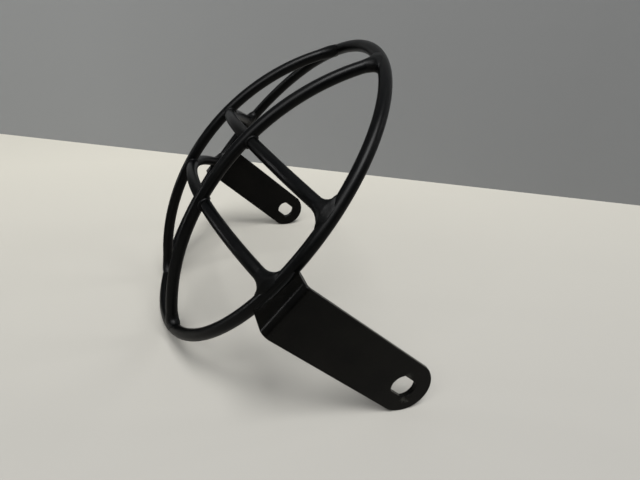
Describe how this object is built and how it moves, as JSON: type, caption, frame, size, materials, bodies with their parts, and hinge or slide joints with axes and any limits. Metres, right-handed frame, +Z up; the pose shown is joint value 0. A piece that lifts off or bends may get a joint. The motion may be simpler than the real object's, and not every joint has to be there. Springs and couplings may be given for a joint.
{
  "type": "motorcycle headlight guard",
  "caption": "Domed guard of round steel bars welded to a hoop, with flat bent brackets at its sides for fitting over a round headlamp.",
  "frame": {"origin": "on the surface that the guard lies on, under the middle of its bounding box", "axes": "+Z up from that surface, as the guard rests on the hoop's lowest point and both arms' rounded ends; +Y along the line through both bolt holes, towards the rider's left; +X level, towards the side that the domed bars face"},
  "size_m": [0.1144, 0.205, 0.1446],
  "materials": {
    "coated_rod": "satin",
    "coated_plate": "satin",
    "coated_weld": "satin"
  },
  "bodies": {
    "root": {"hoop": "coated_rod", "vertical_bar_left": "coated_rod", "vertical_bar_right": "coated_rod", "horizontal_bar_upper": "coated_rod", "horizontal_bar_lower": "coated_rod", "bracket_left": "coated_plate", "bracket_right": "coated_plate", "weld_vertical_left_top": "coated_weld", "weld_vertical_left_bottom": "coated_weld", "weld_vertical_right_top": "coated_weld", "weld_vertical_right_bottom": "coated_weld", "weld_horizontal_upper_left": "coated_weld", "weld_horizontal_upper_right": "coated_weld", "weld_horizontal_lower_left": "coated_weld", "weld_horizontal_lower_right": "coated_weld", "weld_crossing_upper_left": "coated_weld", "weld_crossing_upper_right": "coated_weld", "weld_crossing_lower_left": "coated_weld", "weld_crossing_lower_right": "coated_weld", "weld_bracket_left_front": "coated_weld", "weld_bracket_left_back": "coated_weld", "weld_bracket_right_front": "coated_weld", "weld_bracket_right_back": "coated_weld"}
  },
  "joints": []
}
